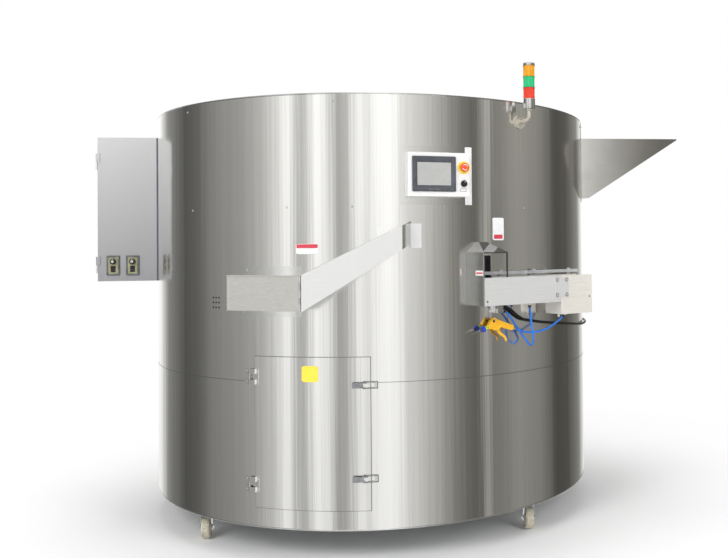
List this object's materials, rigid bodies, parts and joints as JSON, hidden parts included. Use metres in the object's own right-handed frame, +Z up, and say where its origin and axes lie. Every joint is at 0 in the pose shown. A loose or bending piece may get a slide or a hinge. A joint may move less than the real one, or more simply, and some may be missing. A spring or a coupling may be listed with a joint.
{
  "type": "bottle unscrambler",
  "caption": "Rotary bottle unscrambler: round stainless casing on casters, hopper on one side, rotor with chutes inside, short discharge conveyor, panel and tower light.",
  "frame": {"origin": "on the floor, on the axis of the round casing", "axes": "+Z up; +X to the right as seen from the operator's side, where the infeed hopper is; the operator's side faces -Y"},
  "size_m": [2.9573, 2.2899, 2.1052],
  "materials": {
    "casing_steel": "bright brushed stainless sheet",
    "satin_steel": "satin stainless sheet",
    "inner_steel": "dull stainless",
    "bright_metal": "bright metal",
    "frame_paint": "satin paint",
    "gear_steel": "machined",
    "motor_paint": "satin paint",
    "latch_metal": "zinc plated",
    "belt": "matte",
    "rail_plastic": "smooth",
    "wheel_tread": "smooth",
    "screen": "glossy",
    "red_button": "glossy",
    "black_plastic": "satin",
    "tower_metal": "satin",
    "lens_red": "translucent",
    "lens_green": "translucent",
    "lens_amber": "translucent",
    "gun_plastic": "satin",
    "hose_blue": "smooth",
    "cable_black": "matte"
  },
  "bodies": {
    "frame": {"base_frame": "frame_paint", "casing_frame": "inner_steel", "casing_lower": "casing_steel", "casing_upper": "casing_steel", "casing_screws": "bright_metal", "column": "frame_paint", "main_bearings": "bright_metal", "deck": "inner_steel", "gear_motor": "motor_paint", "side_box": "satin_steel", "inclined_duct": "casing_steel", "cabinet_housing": "satin_steel", "operator_box": "satin_steel", "touch_screen": "screen", "tower_stem": "tower_metal", "lens_red": "lens_red", "lens_green": "lens_green", "lens_amber": "lens_amber", "infeed_hopper": "casing_steel", "discharge_hood": "casing_steel", "conveyor_sides": "casing_steel", "end_block": "satin_steel", "belt_bed": "inner_steel", "conveyor_belt": "belt", "guide_rail": "rail_plastic", "air_fittings": "bright_metal", "gun_body": "gun_plastic", "hose_loop": "hose_blue", "hose_gun": "hose_blue", "power_cable": "cable_black", "door_fittings": "bright_metal"},
    "rotor": {"main_shaft": "bright_metal", "rotor_drum": "inner_steel", "rotor_chutes": "inner_steel", "ring_gear": "gear_steel"},
    "pinion": {"pinion": "gear_steel"},
    "tail_roller": {"tail_roller": "bright_metal"},
    "head_roller": {"head_roller": "bright_metal"},
    "access_door": {"access_door": "casing_steel"},
    "latch_lever_low": {"latch_lever_low": "latch_metal"},
    "latch_lever_high": {"latch_lever_high": "latch_metal"},
    "latch_bail_low": {"latch_bail_low": "bright_metal"},
    "latch_bail_high": {"latch_bail_high": "bright_metal"},
    "side_box_cover": {"side_box_cover": "satin_steel"},
    "cabinet_door": {"cabinet_door": "satin_steel"},
    "speed_knob_left": {"speed_knob_left": "black_plastic"},
    "speed_knob_right": {"speed_knob_right": "black_plastic"},
    "rocker_left": {"rocker_left": "black_plastic"},
    "rocker_right": {"rocker_right": "black_plastic"},
    "stop_button": {"stop_button": "red_button"},
    "selector_knob": {"selector_knob": "black_plastic"},
    "gun_trigger": {"gun_trigger": "gun_plastic"},
    "fork_1": {"fork_1": "latch_metal"},
    "wheel_1": {"wheel_1": "wheel_tread"},
    "fork_2": {"fork_2": "latch_metal"},
    "wheel_2": {"wheel_2": "wheel_tread"},
    "fork_3": {"fork_3": "latch_metal"},
    "wheel_3": {"wheel_3": "wheel_tread"},
    "fork_4": {"fork_4": "latch_metal"},
    "wheel_4": {"wheel_4": "wheel_tread"}
  },
  "joints": [
    {"name": "rotor_spin", "type": "hinge", "parent": "frame", "child": "rotor", "pos_m": [0, 0, 1.1], "axis": [0, 0, 1], "continuous": true},
    {"name": "pinion_spin", "type": "hinge", "parent": "frame", "child": "pinion", "pos_m": [0.18, 0.31177, 1.1], "axis": [0, 0, 1], "continuous": true},
    {"name": "head_roller_spin", "type": "hinge", "parent": "frame", "child": "head_roller", "pos_m": [0.9353, -0.79599, 1.071], "axis": [0.5, -0.866, 0], "continuous": true},
    {"name": "tail_roller_spin", "type": "hinge", "parent": "frame", "child": "tail_roller", "pos_m": [0.43128, -1.08699, 1.071], "axis": [0.5, -0.866, 0], "continuous": true},
    {"name": "access_door_hinge", "type": "hinge", "parent": "frame", "child": "access_door", "pos_m": [-0.53039, -0.97281, 0.54], "axis": [0, 0, -1], "range_deg": [0, 110]},
    {"name": "latch_lever_low_turn", "type": "hinge", "parent": "access_door", "child": "latch_lever_low", "pos_m": [-0.04463, -1.1111, 0.352], "axis": [0, 0, 1], "range_deg": [0, 110]},
    {"name": "latch_bail_low_turn", "type": "hinge", "parent": "latch_lever_low", "child": "latch_bail_low", "pos_m": [-0.0567, -1.11262, 0.352], "axis": [0, 0, 1], "range_deg": [-110, 0]},
    {"name": "latch_lever_high_turn", "type": "hinge", "parent": "access_door", "child": "latch_lever_high", "pos_m": [-0.04463, -1.1111, 0.736], "axis": [0, 0, 1], "range_deg": [0, 110]},
    {"name": "latch_bail_high_turn", "type": "hinge", "parent": "latch_lever_high", "child": "latch_bail_high", "pos_m": [-0.0567, -1.11262, 0.736], "axis": [0, 0, 1], "range_deg": [-110, 0]},
    {"name": "side_box_cover_hinge", "type": "hinge", "parent": "frame", "child": "side_box_cover", "pos_m": [-0.30284, -1.18688, 1.12], "axis": [0, 0, 1], "range_deg": [0, 100]},
    {"name": "cabinet_door_hinge", "type": "hinge", "parent": "frame", "child": "cabinet_door", "pos_m": [-1.3613, -0.25, 1.5], "axis": [0, 0, -1], "range_deg": [0, 110]},
    {"name": "speed_knob_left_turn", "type": "hinge", "parent": "cabinet_door", "child": "speed_knob_left", "pos_m": [-1.284, -0.25, 1.2409], "axis": [0, -1, 0], "range_deg": [-270, 0]},
    {"name": "rocker_left_tip", "type": "hinge", "parent": "cabinet_door", "child": "rocker_left", "pos_m": [-1.284, -0.25, 1.204], "axis": [-1, 0, 0], "range_deg": [0, 20]},
    {"name": "speed_knob_right_turn", "type": "hinge", "parent": "cabinet_door", "child": "speed_knob_right", "pos_m": [-1.192, -0.25, 1.2409], "axis": [0, -1, 0], "range_deg": [-270, 0]},
    {"name": "rocker_right_tip", "type": "hinge", "parent": "cabinet_door", "child": "rocker_right", "pos_m": [-1.192, -0.25, 1.204], "axis": [-1, 0, 0], "range_deg": [0, 20]},
    {"name": "stop_button_push", "type": "slide", "parent": "frame", "child": "stop_button", "axis": [-0.2267, 0.974, 0], "range_m": [0, 0.006]},
    {"name": "selector_turn", "type": "hinge", "parent": "frame", "child": "selector_knob", "pos_m": [0.36584, -1.09559, 1.564], "axis": [0.2267, -0.974, 0], "range_deg": [-45, 45]},
    {"name": "gun_trigger_pull", "type": "hinge", "parent": "frame", "child": "gun_trigger", "pos_m": [0.51605, -1.00332, 0.946], "axis": [0.4384, -0.8988, 0], "range_deg": [0, 20], "stiffness_Nm_per_rad": 0.4, "springref_deg": -8.59},
    {"name": "fork_1_swivel", "type": "hinge", "parent": "frame", "child": "fork_1", "pos_m": [0.6892, -0.76544, 0.12], "axis": [0, 0, 1], "continuous": true},
    {"name": "wheel_1_spin", "type": "hinge", "parent": "fork_1", "child": "wheel_1", "pos_m": [0.6892, -0.73744, 0.05], "axis": [1, 0, 0], "continuous": true},
    {"name": "fork_2_swivel", "type": "hinge", "parent": "frame", "child": "fork_2", "pos_m": [0.76544, 0.6892, 0.12], "axis": [0, 0, 1], "continuous": true},
    {"name": "wheel_2_spin", "type": "hinge", "parent": "fork_2", "child": "wheel_2", "pos_m": [0.76544, 0.7172, 0.05], "axis": [1, 0, 0], "continuous": true},
    {"name": "fork_3_swivel", "type": "hinge", "parent": "frame", "child": "fork_3", "pos_m": [-0.6892, 0.76544, 0.12], "axis": [0, 0, 1], "continuous": true},
    {"name": "wheel_3_spin", "type": "hinge", "parent": "fork_3", "child": "wheel_3", "pos_m": [-0.6892, 0.79344, 0.05], "axis": [1, 0, 0], "continuous": true},
    {"name": "fork_4_swivel", "type": "hinge", "parent": "frame", "child": "fork_4", "pos_m": [-0.76544, -0.6892, 0.12], "axis": [0, 0, 1], "continuous": true},
    {"name": "wheel_4_spin", "type": "hinge", "parent": "fork_4", "child": "wheel_4", "pos_m": [-0.76544, -0.66121, 0.05], "axis": [1, 0, 0], "continuous": true}
  ],
  "couplings": [
    {"joint": "pinion_spin", "follows": "rotor_spin", "ratio": -4},
    {"joint": "tail_roller_spin", "follows": "head_roller_spin", "ratio": 1},
    {"joint": "latch_bail_low_turn", "follows": "latch_lever_low_turn", "ratio": -1},
    {"joint": "latch_bail_high_turn", "follows": "latch_lever_high_turn", "ratio": -1}
  ]
}
